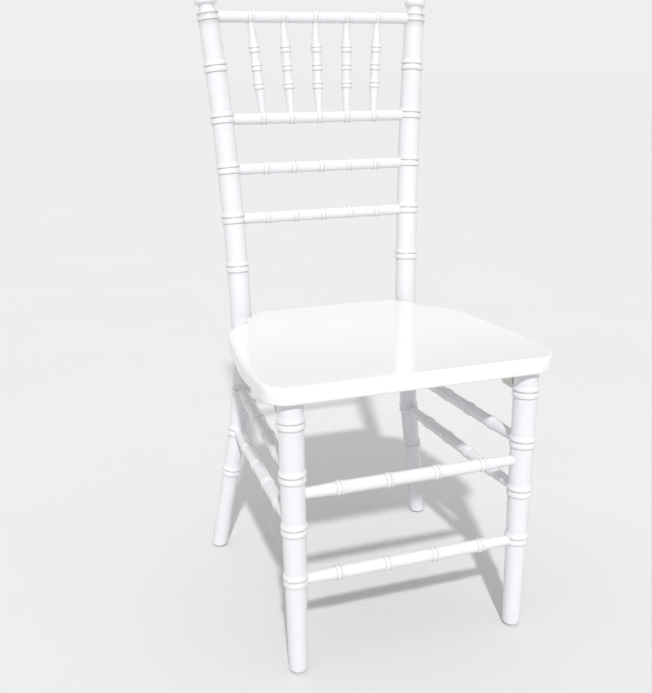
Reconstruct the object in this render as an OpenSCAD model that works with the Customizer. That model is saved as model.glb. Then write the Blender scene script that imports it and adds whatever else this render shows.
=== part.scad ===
// Painted wooden banquet chair with turned bamboo rings.
// Millimetres, +Z up, the sitter faces -Y, X is across the chair.
// The origin lies on the floor under the middle of the chair's outline.

/* [Overall] */
// Height to the top of the finials
overall_h = 914; // [900:1:930]
// Height of the seat's top face
seat_h = 418; // [412:1:424]
// Thickness of the seat board
seat_t = 23; // [20:1:28]

/* [Front legs] */
// Distance between the front legs' centre lines under the seat
leg_span_top = 343; // [330:1:350]
// Distance between the front legs' centre lines at the floor
leg_span_foot = 331; // [320:1:345]
// Distance from the front legs to the rear posts' knees, along Y
leg_to_knee = 343.8; // [336:0.2:352]
// Diameter of a front leg
leg_d = 34; // [33:0.5:35]
// Diameter of a front leg at the floor
leg_foot_d = 26; // [25:0.5:27]
// How far the top ring on a front leg lies below the seat
leg_ring_drop = 33; // [30:0.5:38]
// Distance from ring to ring on a front leg
leg_ring_pitch = 74.5; // [72:0.5:76]
// Number of rings on a front leg
leg_rings = 4; // [3:1:4]
// Diameter of the tenon on top of a front leg
leg_tenon_d = 24; // [20:0.5:26]
// Length of the tenon on top of a front leg
leg_tenon_l = 14; // [10:0.5:16]

/* [Rear posts] */
// Distance between the rear posts' knees, where the shins' lines meet the long curves
knee_span = 287.2; // [280:0.2:294]
// How far the knee lies below the seat
knee_drop = 95; // [89:1:99]
// How far a rear foot stands outside its knee
foot_out = 44.5; // [38:0.5:50]
// How far a rear foot stands behind its knee
foot_back = 34.4; // [28:0.2:40]
// Backward lean of the post just above the knee, in degrees
post_rake = 2.57; // [2:0.01:3]
// Radius of the long curve of the post above the knee
post_curve_r = 4620; // [4400:10:4900]
// Direction in which that curve leaves the upright, in degrees from +X
post_curve_dir = 38.6; // [34:0.2:44]
// Diameter of a rear post
post_d = 34; // [32.5:0.5:35.5]
// Diameter of a rear post in its bend, from the seat down to the shin
post_bend_d = 30.5; // [29.5:0.5:31]
// How far below the knee the bend starts, along the shin
bend_start = 86; // [82:1:90]
// How far the bend bows out of the straight line between its ends
bend_bow = 4; // [3.5:0.1:5]
// Direction from which it bows in under the seat, in degrees from +X
bend_dir = 51; // [45:1:57]
// Diameter of a rear post at the top of its straight shin
post_shin_d = 28.5; // [27:0.5:29]
// Diameter of a rear post at the floor
post_foot_d = 25.5; // [24:0.5:27]
// Distance from ring to ring along a rear post
post_ring_pitch = 77.5; // [76:0.5:79]
// Number of rings from the crest rail down to the seat
post_rings = 6; // [5:1:6]
// Distance from ring to ring below the seat
shin_ring_pitch = 74.5; // [72:0.5:76]

/* [Finial] */
// Height of the finial above the middle of the top ring
finial_h = 38; // [36:0.5:41]
// Diameter of the button on top
button_d = 34.5; // [32:0.5:36]
// Height of the button's rim
button_rim = 8; // [6:0.5:9]
// Height of the dome on the button
dome_h = 11; // [9:0.5:12]
// Diameter of the neck under the button
neck_d = 25; // [22:0.5:27]

/* [Turned rings] */
// How far a ring's lip stands proud of a leg or post
lip = 2; // [1.4:0.1:2.4]
// Length of the drop behind a lip
lip_step = 1.2; // [0.8:0.1:1.4]
// Distance between a ring's two lips on a leg or post
lip_gap = 9.5; // [8:0.5:11]
// Length of the flare that runs out to each lip
flare = 7.5; // [6:0.5:8.5]
// How far a ring's lip stands proud of a rail or stretcher
rail_lip = 1.2; // [0.8:0.1:1.6]
// Distance between a ring's two lips on a rail or stretcher
rail_lip_gap = 7; // [6:0.5:8]
// Length of the flare on a rail or stretcher
rail_flare = 4.5; // [3.5:0.5:5]

/* [Back rails] */
// Diameter of the four back rails
rail_d = 17.5; // [16.5:0.5:18.5]
// Distance between the crest rail's rings and spindles
crest_pitch = 53; // [50:0.5:55]
// Distance between the lower rails' rings and spindle feet
rail_pitch = 46.5; // [44:0.5:48]

/* [Spindles] */
// Number of spindles
spindles = 5; // [5:1:5]
// Diameter of a spindle between its rings
spindle_d = 15; // [14:0.5:16]
// Diameter of a spindle at its ends
spindle_end_d = 10.5; // [10:0.5:12]
// Distance between a spindle's rings
spindle_ring_pitch = 28; // [26:0.5:30]
// Diameter of a spindle's tenons
spindle_tenon_d = 7; // [6:0.5:8]
// Length of a spindle's tenons
spindle_tenon_l = 7; // [6:0.5:8]
// Depth of the flat seat for a spindle's end in a rail
spindle_seat = 2; // [1.5:0.25:2.5]
// Length of a spindle's plain ends
spindle_plain = 12; // [10:1:16]

/* [Stretchers] */
// Diameter of a stretcher in its middle
stretcher_d = 18; // [17:0.5:19]
// Diameter of a stretcher at its ends
stretcher_end_d = 14.5; // [13.5:0.5:15.5]
// Length over which a stretcher swells from its ends
stretcher_swell = 60; // [50:5:65]
// How far the upper front stretcher lies below the second leg ring
front_upper_drop = 25.5; // [24:0.5:28]
// How far the lower front stretcher lies below the lowest leg ring
front_lower_drop = 1; // [0:0.5:3]
// Distance between the front stretchers' rings
front_ring_pitch = 71; // [68:1:74]
// Distance between the side stretchers' rings
side_ring_pitch = 66; // [62:1:70]
// Number of rings on a stretcher
stretcher_rings = 4; // [3:1:4]

/* [Joints] */
// How deep the full end of a rail sits in its housing
housing = 4.5; // [4:0.5:5]
// Diameter of the tenons on rails and stretchers
tenon_d = 11; // [10:0.5:12]
// Length of the tenons beyond the housing
tenon_l = 11; // [9:0.5:12]
// Bevel on the tip of a tenon
tenon_edge = 1; // [0.5:0.25:1.5]
// Gap all round a glued joint, on the radius
glue_gap = 0.15; // [0.1:0.05:0.25]

/* [Seat] */
// Width of the seat at its widest
seat_w = 420; // [412:1:428]
// How far the seat's front edge lies in front of the front legs
seat_front = 27; // [24:1:30]
// How far the seat's rear edge lies behind the knees' centre line
seat_rear = 7; // [4:0.5:9]
// How far the seat's widest place stands out past its front corners, on each side
seat_belly = 1; // [0.5:0.5:2]
// How far the seat's widest place stands out past its rear shoulders, on each side
seat_taper = 12; // [9:0.5:15]
// Where the seat is widest, as a share of its depth from the front
belly_share = 0.33; // [0.3:0.01:0.4]
// Radius of the seat's widest place
belly_r = 60; // [50:5:70]
// Radius of the seat's front corners
seat_corner_r = 34; // [28:1:40]
// Radius of the seat's rear shoulders
shoulder_r = 140; // [130:1:150]
// How far the rear shoulders lie in front of the seat's rear edge
shoulder_back = 11; // [9:0.5:13]
// Radius of the seat's rear corners, between the posts
tongue_r = 14; // [10:1:18]
// How far the seat's rear edge bows out
rear_bow = 2; // [1.5:0.5:3]
// Depth of the notch in each rear shoulder, in front of the post
shoulder_notch = 21; // [10:1:30]
// Rounding of the seat's edges
seat_edge = 5; // [3:0.5:6]
// Gap between the seat and each rear post
post_gap = 1.5; // [1:0.5:3]

/* [Underside] */
// Height of the rail that carries the rear of the seat
seat_rail_h = 38; // [34:1:42]
// Thickness of that rail
seat_rail_t = 20; // [18:1:22]
// Distance between the two screws in that rail
rear_screw_span = 140; // [120:5:160]
// How far the rear screws lie in front of the rear rail's middle
rear_screw_forward = 5; // [4:0.5:5.5]
// Length of the corner block behind a front leg
block_l = 30; // [26:1:34]
// Width of the corner block
block_w = 20; // [18:1:22]
// How far the corner block stands inside the leg's centre line
block_inset = 2; // [0:0.5:3]
// Height of the corner block
block_h = 32; // [28:1:34]
// Length of a seat screw under its head
screw_l = 40; // [38:1:42]
// How far a seat screw reaches into the seat
screw_bite = 14; // [12:1:16]
// Shank diameter of a seat screw
screw_d = 4; // [3.5:0.5:4.5]
// Head diameter of a seat screw
screw_head_d = 8; // [7:0.5:9]
// Diameter of a foot glide
glide_d = 20; // [18:0.5:22]
// Thickness of a foot glide
glide_t = 3; // [2.5:0.5:4]
// Diameter of a glide's pin
glide_pin_d = 5; // [4:0.5:6]
// Length of a glide's pin
glide_pin_l = 14; // [12:0.5:16]

/* [Hidden] */

white = [0.95, 0.95, 0.96];
raw_wood = [0.86, 0.74, 0.56];
steel = [0.62, 0.63, 0.65];
nylon = [0.88, 0.88, 0.86];

round_fn = 64;
dip = lip / 5;          // how far a flare starts inside the wood
bend_sink = 0.75 * lip; // how far the bend starts below its lowest ring's middle
post_step = 2;          // how far inside the seat's notch the post grows to its full diameter
seat_under = seat_h - seat_t;
knee_h = seat_under - knee_drop;
leg_ring_h = seat_under - leg_ring_drop - (leg_rings - 1) * leg_ring_pitch;
front_upper_h = seat_under - leg_ring_drop - leg_ring_pitch - front_upper_drop;

// Vectors and frames
function unit(v) = v / norm(v);
function side_of(p, s) = [s * p[0], p[1], p[2]];
function flip(v, s) = [s * v[0], v[1], v[2]];

// A frame is [place, forward, inward]; an arc bends inward as it runs forward
function along(f, r, a) = [
    f[0] + r * (sin(a) * f[1] + (1 - cos(a)) * f[2]),
    cos(a) * f[1] + sin(a) * f[2],
    cos(a) * f[2] - sin(a) * f[1]
];
function square_to(v, t) = unit(v - (v * t) * t);

// The rear post's centre line, for the right-hand post: a straight shin and one long curve
knee = [knee_span / 2, leg_to_knee / 2, knee_h];
rear_foot = knee + [foot_out, foot_back, -knee_h];
shin_dir = unit(knee - rear_foot);
shin_top = knee - bend_start * shin_dir;
rise_dir = unit([0, sin(post_rake), cos(post_rake)]);
curve_out = [cos(post_curve_dir), sin(post_curve_dir), 0];
curve_start = [knee, rise_dir, square_to(curve_out, rise_dir)];

// The long curve ends where the finial's top reaches the overall height
climb_a = post_curve_r * rise_dir[2] + finial_h * curve_start[2][2];
climb_b = finial_h * rise_dir[2] - post_curve_r * curve_start[2][2];
climb_c = overall_h - curve_start[0][2] - post_curve_r * curve_start[2][2];
curve_angle = asin(climb_c / norm([climb_a, climb_b])) - atan2(climb_b, climb_a);

function post_at(s) = along(curve_start, post_curve_r, curve_angle - s / post_curve_r * 180 / PI);
function ring_frame(i) = post_at(i * post_ring_pitch);
shin_l = norm(shin_top - rear_foot);

// The arc in degrees at which a frame's arc reaches height z
function reach_up(f, r, z) = let (a = r * f[1][2], b = -r * f[2][2])
    asin((z - f[0][2] + b) / norm([a, b])) - atan2(b, a);

// The bend between the shin and the long curve, by its chord and its bow
step_angle = reach_up(curve_start, post_curve_r, seat_under + post_step);
post_bottom = along(curve_start, post_curve_r, step_angle);
bend_chord = post_bottom[0] - shin_top;
bend_r = norm(bend_chord) * norm(bend_chord) / bend_bow / 8 + bend_bow / 2;
bend_half = asin(norm(bend_chord) / 2 / bend_r);
bend_side = -square_to([cos(bend_dir), sin(bend_dir), 0], unit(bend_chord));
bend_frame = [
    shin_top,
    cos(bend_half) * unit(bend_chord) + sin(bend_half) * bend_side,
    sin(bend_half) * unit(bend_chord) - cos(bend_half) * bend_side
];
function bend_at(s) = along(bend_frame, bend_r, s / bend_r * 180 / PI);
shin_ring_dir = unit(shin_dir + bend_frame[1]);
shin_ring = [shin_top, shin_ring_dir, square_to(bend_frame[2], shin_ring_dir)];

// Move everything so that the outline's middle is over the origin
front_y = -leg_to_knee / 2;
top_frame = post_at(dome_h + button_rim / 2 - finial_h);
outline_front = front_y - seat_front;
outline_back = top_frame[0][1] + button_d / 2 * sqrt(1 - pow(top_frame[1][1], 2));
shift_y = -(outline_front + outline_back) / 2;

// Members' ends
crest = ring_frame(0)[0];
spindle_foot_rail = ring_frame(2)[0];
rail_upper = ring_frame(3)[0];
rail_lower = ring_frame(4)[0];
function leg_x(z) = leg_span_foot / 2 + (leg_span_top - leg_span_foot) / 2 * z / seat_under;
function leg_at(z) = [leg_x(z), front_y, z];
front_lower_h = leg_ring_h - front_lower_drop;
side_upper_front = leg_at(seat_under - leg_ring_drop - leg_ring_pitch);
side_lower_front = leg_at(seat_under - leg_ring_drop - 2 * leg_ring_pitch);
side_upper_rear = bend_at(shin_ring_pitch)[0];
side_lower_rear = shin_top;

module stand() {
    translate([0, shift_y, 0]) children();
}

// Lay a shape drawn along +Z on the line from a towards b
module lay(a, b) {
    d = unit(b - a);
    translate(a) rotate([0, acos(d[2]), atan2(d[1], d[0])]) children();
}

// Put a shape in a frame, its Z forward and its X inward
module in_frame(f) {
    y = cross(f[1], f[2]);
    multmatrix([
        [f[2][0], y[0], f[1][0], f[0][0]],
        [f[2][1], y[1], f[1][1], f[0][1]],
        [f[2][2], y[2], f[1][2], f[0][2]],
        [0, 0, 0, 1]
    ]) children();
}

// A bent round bar that runs from a frame along its arc
module bent_bar(f, r, a, d, steps) {
    in_frame(f)
        translate([r, 0, 0])
            rotate([90, 0, 180])
                rotate_extrude(angle = a, $fn = round(steps * 360 / a))
                    translate([r, 0]) circle(d = d, $fn = round_fn);
}

// One ring's outline from below, for a bar of radius r that grows by k per mm
function ring_points(z, r, p, gap, run) = [
    [r, z - gap / 2 - lip_step], [r + p, z - gap / 2],
    [r, z + gap / 2 - lip_step], [r + p, z + gap / 2],
    [r, z + gap / 2 + run]
];

// A ring for a curved post, sunk a little into the bar
module post_ring(d, d_below) {
    r = d / 2;
    rotate(90) rotate_extrude($fn = round_fn) polygon([
        [0, -lip_gap / 2 - lip_step], [d_below / 2 - lip_step, -lip_gap / 2 - lip_step], [r + lip, -lip_gap / 2],
        [r - dip, lip_gap / 2 - lip_step], [r + lip, lip_gap / 2],
        [r - dip, lip_gap / 2 + flare], [0, lip_gap / 2 + flare]
    ]);
}

// A turned bar along +Z from a list of [radius, height] points
module turned(points) {
    last = len(points) - 1;
    rotate_extrude($fn = round_fn)
        polygon(concat([[0, points[0][1]]], points, [[0, points[last][1]]]));
}

module bore(a, d, depth) {
    translate([0, 0, -depth]) cylinder(d = d + 2 * glue_gap, h = depth + a, $fn = round_fn);
}

// The housing and tenon hole for a member that enters at p and comes from q
module mortise(p, q, around_d, end_d) {
    lay(p, q) translate([0, 0, around_d / 2 - housing]) {
        cylinder(d = end_d + 2 * glue_gap, h = around_d, $fn = round_fn);
        bore(1, tenon_d, tenon_l + 1);
    }
}

// The two ends of a bar's outline, with tenons of diameter d and length l
function low_end(z, d, l, end_d) = [
    [d / 2 - tenon_edge, z - l], [d / 2, z - l + tenon_edge], [d / 2, z], [end_d / 2, z]
];
function high_end(z, d, l, end_d) = [
    [end_d / 2, z], [d / 2, z], [d / 2, z + l - tenon_edge], [d / 2 - tenon_edge, z + l]
];

// Front legs
module leg_solid() {
    top = leg_ring_h + (leg_rings - 1) * leg_ring_pitch;
    taper_top = leg_ring_h + leg_ring_pitch;
    function r(z) = z >= taper_top ? leg_d / 2
        : leg_foot_d / 2 + (leg_d - leg_foot_d) / 2 * z / taper_top;
    sole = glide_t;
    foot_round = 2;
    turned(concat(
        [[r(0) - foot_round, sole], [r(0), sole + foot_round]],
        [for (i = [0 : leg_rings - 1], q = ring_points(leg_ring_h + i * leg_ring_pitch,
            r(leg_ring_h + i * leg_ring_pitch), lip, lip_gap, flare)) q],
        [[leg_d / 2, seat_under], [leg_tenon_d / 2, seat_under],
         [leg_tenon_d / 2, seat_under + leg_tenon_l - tenon_edge],
         [leg_tenon_d / 2 - tenon_edge, seat_under + leg_tenon_l]]
    ));
}

module leg_axis() {
    lay(leg_at(0), leg_at(seat_under)) children();
}

module front_leg() {
    color(white) stand() difference() {
        leg_axis() leg_solid();
        mortise(leg_at(front_upper_h), side_of(leg_at(front_upper_h), -1), leg_d, stretcher_end_d);
        mortise(leg_at(front_lower_h), side_of(leg_at(front_lower_h), -1), lower_leg_d, stretcher_end_d);
        mortise(side_upper_front, side_upper_rear, leg_d, stretcher_end_d);
        mortise(side_lower_front, side_lower_rear, leg_d, stretcher_end_d);
        leg_axis() cylinder(d = glide_pin_d + 2 * glue_gap, h = glide_t + glide_pin_l + 1, $fn = round_fn);
    }
}
lower_leg_d = leg_foot_d + (leg_d - leg_foot_d) * front_lower_h / (leg_ring_h + leg_ring_pitch);

// Rear posts
module shin() {
    last = shin_l - shin_ring_pitch;
    function r(z) = (post_foot_d + (post_shin_d - post_foot_d) * z / shin_l) / 2;
    turned(concat(
        [[r(0), -post_foot_d], [r(0), 0]],
        ring_points(last, r(last), lip, lip_gap, flare),
        [[post_shin_d / 2, shin_l]]
    ));
}

module finial() {
    r = post_d / 2;
    rim_z = finial_h - dome_h - button_rim;
    neck_top = rim_z - 2;
    neck_low = neck_top - 3;
    rim_bulge = 1.6;
    rim_r = button_d / 2 - rim_bulge;
    arc_steps = 6;
    turned(concat(
        [[r - dip, -lip_gap / 2 - lip_step], [r + lip, -lip_gap / 2], [r - dip, lip_gap / 2 - lip_step]],
        [for (i = [0 : arc_steps]) let (a = 90 * i / arc_steps)
            [neck_d / 2 + (r + lip - neck_d / 2) * (1 - sin(a)),
             lip_gap / 2 + (neck_low - lip_gap / 2) * (1 - cos(a))]],
        [[neck_d / 2, neck_top]],
        [for (i = [0 : arc_steps]) let (a = 180 * i / arc_steps)
            [rim_r + rim_bulge * sin(a), rim_z + button_rim / 2 * (1 - cos(a))]],
        [for (i = [1 : arc_steps]) let (a = 90 * i / arc_steps)
            [rim_r * cos(a), finial_h - dome_h * (1 - sin(a))]]
    ));
}

module rear_post_wood() {
    lay(rear_foot, shin_top) rotate(90) shin();
    sink = bend_sink / bend_r * 180 / PI;
    rise = post_step * 3 / bend_r * 180 / PI;
    bent_bar(bend_at(-bend_sink), bend_r, 2 * bend_half + sink + rise, post_bend_d, 12);
    bent_bar(post_bottom, post_curve_r, curve_angle - step_angle, post_d, 20);
    in_frame(shin_ring) post_ring(post_bend_d, post_shin_d);
    in_frame(bend_at(shin_ring_pitch)) post_ring(post_bend_d, post_bend_d);
    for (i = [1 : post_rings - 1]) in_frame(ring_frame(i)) post_ring(post_d, post_d);
    in_frame(ring_frame(0)) rotate(90) finial();
}

module rail_mortise(p) {
    mortise(p, side_of(p, -1), post_d, rail_d);
}

module rear_post() {
    color(white) stand() difference() {
        rear_post_wood();
        translate([rear_foot[0] - post_d, rear_foot[1] - post_d, glide_t - 3 * post_d])
            cube([2 * post_d, 2 * post_d, 3 * post_d]);
        rail_mortise(crest);
        rail_mortise(spindle_foot_rail);
        rail_mortise(rail_upper);
        rail_mortise(rail_lower);
        mortise(side_upper_rear, side_upper_front, post_bend_d, stretcher_end_d);
        mortise(side_lower_rear, side_lower_front, post_bend_d, stretcher_end_d);
        seat_rail_mortise();
        translate([rear_foot[0], rear_foot[1], -1])
            cylinder(d = glide_pin_d + 2 * glue_gap, h = glide_t + glide_pin_l + 2, $fn = round_fn);
    }
}

module on_side(s) {
    if (s > 0) children();
    else mirror([1, 0, 0]) children();
}

// A straight member between p and q with tenons in both ends
// around_p and around_q are the diameters of what it enters
module member(p, q, around_p, around_q, end_d, mid_d, ring_places) {
    span = norm(q - p);
    first = around_p / 2 - housing;
    last = span - around_q / 2 + housing;
    swell = min(stretcher_swell, (last - first) / 4);
    function r(z) = (end_d + (mid_d - end_d) * min(1, max(0, min(z - first, last - z) / swell))) / 2;
    lay(p, q) turned(concat(
        low_end(first, tenon_d, tenon_l, end_d),
        end_d == mid_d ? [] : [[mid_d / 2, first + swell]],
        [for (z = ring_places, e = ring_points(z, r(z), rail_lip, rail_lip_gap, rail_flare)) e],
        end_d == mid_d ? [] : [[mid_d / 2, last - swell]],
        high_end(last, tenon_d, tenon_l, end_d)
    ));
}

function spread(count, pitch, middle) = [for (i = [0 : count - 1]) middle + (i - (count - 1) / 2) * pitch];

module back_rail(p, pitch) {
    places = spread(spindles, pitch, p[0]);
    member(side_of(p, -1), p, post_d, post_d, rail_d, rail_d, places);
}

function spindle_top(i) = [(i - (spindles - 1) / 2) * crest_pitch, crest[1], crest[2]];
function spindle_foot(i) = [(i - (spindles - 1) / 2) * rail_pitch, spindle_foot_rail[1], spindle_foot_rail[2]];

// The flat seat and hole for a spindle in a rail at p, coming from q
module spindle_mortise(p, q) {
    lay(p, q) translate([0, 0, rail_d / 2 - spindle_seat])
        bore(rail_d, spindle_tenon_d, spindle_tenon_l);
    lay(p, q) translate([0, 0, rail_d / 2 - spindle_seat])
        cylinder(d = spindle_end_d + 2 * glue_gap, h = rail_d, $fn = round_fn);
}

module crest_rail() {
    color(white) stand() difference() {
        back_rail(crest, crest_pitch);
        for (i = [0 : spindles - 1]) spindle_mortise(spindle_top(i), spindle_foot(i));
    }
}

module spindle_rail() {
    color(white) stand() difference() {
        back_rail(spindle_foot_rail, rail_pitch);
        for (i = [0 : spindles - 1]) spindle_mortise(spindle_foot(i), spindle_top(i));
    }
}

module back_rail_upper() {
    color(white) stand() back_rail(rail_upper, rail_pitch);
}

module back_rail_lower() {
    color(white) stand() back_rail(rail_lower, rail_pitch);
}

module spindle(i) {
    p = spindle_foot(i);
    q = spindle_top(i);
    span = norm(q - p);
    first = rail_d / 2 - spindle_seat;
    last = span - first;
    rings = spread(3, spindle_ring_pitch, span / 2);
    reach = spindle_tenon_l - tenon_edge;
    color(white) stand() lay(p, q) turned(concat(
        low_end(first, spindle_tenon_d, reach, spindle_end_d),
        [[spindle_end_d / 2, first + spindle_plain]],
        [for (z = rings, e = ring_points(z, spindle_d / 2, rail_lip, rail_lip_gap, rail_flare)) e],
        [[spindle_end_d / 2, last - spindle_plain]],
        high_end(last, spindle_tenon_d, reach, spindle_end_d)
    ));
}

module stretcher(p, q, around_p, around_q, pitch) {
    places = spread(stretcher_rings, pitch, norm(q - p) / 2);
    color(white) stand()
        member(p, q, around_p, around_q, stretcher_end_d, stretcher_d, places);
}

module front_stretcher(z, around) {
    stretcher(side_of(leg_at(z), -1), leg_at(z), around, around, front_ring_pitch);
}

module side_stretcher_upper() {
    stretcher(side_upper_rear, side_upper_front, post_bend_d, leg_d, side_ring_pitch);
}

module side_stretcher_lower() {
    stretcher(side_lower_rear, side_lower_front, post_bend_d, leg_d, side_ring_pitch);
}

// The rail under the rear of the seat, between the posts
seat_rail_z = seat_under - seat_rail_h / 2;
seat_rail_frame = along(bend_frame, bend_r, reach_up(bend_frame, bend_r, seat_rail_z));
function post_above(z) = along(curve_start, post_curve_r, reach_up(curve_start, post_curve_r, z));

module seat_rail_mortise() {
    mortise(seat_rail_frame[0], side_of(seat_rail_frame[0], -1), post_bend_d, rail_d);
}

module rear_seat_rail() {
    p = seat_rail_frame[0];
    body_l = 2 * (p[0] - post_bend_d / 2 - post_gap);
    color(raw_wood) stand() difference() {
        union() {
            member(side_of(p, -1), p, post_bend_d, post_bend_d, rail_d, rail_d, []);
            translate([-body_l / 2, p[1] - seat_rail_t / 2, seat_under - seat_rail_h])
                cube([body_l, seat_rail_t, seat_rail_h]);
        }
        for (s = [-1, 1]) translate(side_of(screw_places[0], s)) screw_hole();
    }
}

// The seat board
seat_back_y = leg_to_knee / 2 + seat_rear;
seat_front_y = front_y - seat_front;
wide_y = seat_front_y + (seat_back_y - seat_front_y) * belly_share;

// Circles that the right half of the seat's outline rolls round, from the front: [centre, radius]
side_x = seat_w / 2 - seat_belly;
front_corner = [[side_x - seat_corner_r, seat_front_y + seat_corner_r], seat_corner_r];
widest = [[seat_w / 2 - belly_r, wide_y], belly_r];
shoulder = [[seat_w / 2 - seat_taper - shoulder_r, seat_back_y - shoulder_back - shoulder_r], shoulder_r];
tongue_x = post_above(seat_h)[0][0] - post_d / 2 - post_gap - tongue_r;
tongue = [[tongue_x, seat_back_y - tongue_r - rear_bow], tongue_r];
rear_r = tongue_x * tongue_x / rear_bow / 2;
rear = [[0, seat_back_y - rear_r], rear_r];
rounds = [front_corner, widest, shoulder, tongue, rear];

// The angle at which the outline leaves circle c for circle d
function leave(c, d) = let (v = d[0] - c[0], a = atan2(v[1], v[0]) - acos((c[1] - d[1]) / norm(v)))
    a < -180 ? a + 360 : a;

function arc_points(c, from, to, inset) = let (n = max(1, ceil((to - from) / 9)))
    [for (i = [0 : n]) let (a = from + (to - from) * i / n)
        c[0] + (c[1] - inset) * [cos(a), sin(a)]];

last_round = len(rounds) - 1;
leaves = [for (i = [0 : last_round - 1]) leave(rounds[i], rounds[i + 1])];
function half_outline(inset) = [
    for (i = [0 : last_round],
        q = arc_points(rounds[i], i == 0 ? -90 : leaves[i - 1], i == last_round ? 90 : leaves[i], inset)) q
];
function other_half(points) = [for (i = [len(points) - 2 : -1 : 0]) [-points[i][0], points[i][1]]];

module seat_layer(inset, z, t) {
    half = half_outline(inset);
    translate([0, 0, z]) linear_extrude(t) polygon(concat(half, other_half(half)));
}

module post_notch() {
    low = post_above(seat_under);
    high = post_above(seat_h);
    reach = post_d / 2 + post_gap;
    lay(low[0], high[0]) translate([0, 0, -5]) cylinder(r = reach, h = seat_t + 10, $fn = round_fn);
    translate([high[0][0] + 2, high[0][1] - reach - 2 * shoulder_notch, seat_under - 1])
        cube([seat_w, 2 * shoulder_notch, seat_t + 2]);
    translate([high[0][0] - reach / 2, high[0][1], seat_under - 1]) cube([seat_w, seat_w, seat_t + 2]);
}

module seat_board() {
    skin = seat_edge / 12;
    color(white) stand() difference() {
        hull() {
            seat_layer(seat_edge * 0.5, seat_under, skin);
            seat_layer(seat_edge * 0.13, seat_under + seat_edge * 0.35, skin);
            seat_layer(0, seat_under + seat_edge * 0.8, skin);
            seat_layer(0, seat_h - seat_edge, skin);
            seat_layer(seat_edge * 0.13, seat_h - seat_edge * 0.5, skin);
            seat_layer(seat_edge * 0.5, seat_h - seat_edge * 0.13, skin / 2);
            seat_layer(seat_edge, seat_h - skin / 2, skin / 2);
        }
        for (s = [-1, 1]) on_side(s) {
            post_notch();
            leg_axis() translate([0, 0, seat_under / cos(leg_tilt) - 1])
                cylinder(d = leg_tenon_d + 2 * glue_gap, h = leg_tenon_l + 1.5, $fn = round_fn);
            for (p = screw_places) translate(p) pilot();
        }
    }
}
leg_tilt = atan((leg_span_top - leg_span_foot) / 2 / seat_under);
rear_screw_x = rear_screw_span / 2;

// Corner blocks behind the front legs
block_x = leg_x(seat_under) - block_inset;
block_y = front_y + leg_d / 2 + 2 * glue_gap;

module corner_block() {
    edge = 5;
    color(raw_wood) stand() difference() {
        translate([block_x - block_w / 2, block_y, seat_under])
            rotate([90, 0, 90]) linear_extrude(block_w) polygon([
                [0, 0], [block_l, 0], [block_l, edge - block_h], [block_l - edge, -block_h], [0, -block_h]
            ]);
        translate(screw_places[1]) screw_hole();
    }
}

// Screws, driven up into the seat, by the height of their heads' undersides
screw_z = seat_h - seat_t + screw_bite - screw_l;
screw_places = [
    [rear_screw_x, seat_rail_frame[0][1] - rear_screw_forward, screw_z],
    [block_x, block_y + block_l / 2, screw_z]
];

module screw_hole() {
    cylinder(d = screw_d + 2 * glue_gap, h = screw_l, $fn = round_fn);
    translate([0, 0, -seat_rail_h]) cylinder(d = screw_head_d + 2 * glue_gap, h = seat_rail_h, $fn = round_fn);
}

module pilot() {
    cylinder(d = screw_d + 2 * glue_gap, h = screw_l + 1, $fn = round_fn);
}

module seat_screw() {
    head_h = 3;
    slot = 1;
    difference() {
        union() {
            translate([0, 0, -head_h]) cylinder(d = screw_head_d, h = head_h, $fn = round_fn);
            cylinder(d = screw_d, h = screw_l - 3, $fn = round_fn);
            translate([0, 0, screw_l - 3]) cylinder(d1 = screw_d, d2 = 1, h = 3, $fn = round_fn);
        }
        for (a = [0, 90]) rotate(a) translate([-slot * 2, -slot / 2, -head_h - 1])
            cube([slot * 4, slot, 2.5]);
    }
}

module seat_screws() {
    color(steel) stand() for (s = [-1, 1]) on_side(s) {
        for (p = screw_places) translate(p) seat_screw();
    }
}

// Glides under the four feet
module glide() {
    edge = 0.8;
    turned([
        [glide_d / 2 - edge, 0], [glide_d / 2, edge], [glide_d / 2, glide_t - 0.1],
        [glide_pin_d / 2, glide_t - 0.1], [glide_pin_d / 2, glide_t + glide_pin_l - 2],
        [1, glide_t + glide_pin_l]
    ]);
}

module foot_glides() {
    color(nylon) stand() for (s = [-1, 1]) {
        translate([s * leg_x(0), front_y, 0]) glide();
        translate([s * rear_foot[0], rear_foot[1], 0]) glide();
    }
}

on_side(-1) rear_post();  // rear_post_left
on_side(1) rear_post();  // rear_post_right
on_side(-1) front_leg();  // front_leg_left
on_side(1) front_leg();  // front_leg_right
crest_rail();
spindle_rail();
back_rail_upper();
back_rail_lower();
spindle(0);  // spindle_1
spindle(1);  // spindle_2
spindle(2);  // spindle_3
spindle(3);  // spindle_4
spindle(4);  // spindle_5
front_stretcher(front_upper_h, leg_d);  // front_stretcher_upper
front_stretcher(front_lower_h, lower_leg_d);  // front_stretcher_lower
on_side(-1) side_stretcher_upper();  // side_stretcher_upper_left
on_side(1) side_stretcher_upper();  // side_stretcher_upper_right
on_side(-1) side_stretcher_lower();  // side_stretcher_lower_left
on_side(1) side_stretcher_lower();  // side_stretcher_lower_right
rear_seat_rail();
seat_board();
on_side(-1) corner_block();  // corner_block_left
on_side(1) corner_block();  // corner_block_right
seat_screws();
foot_glides();
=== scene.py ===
import math

import bmesh
import bpy
from bpy.props import FloatProperty, FloatVectorProperty, IntProperty, PointerProperty
from mathutils import Matrix, Vector


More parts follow.
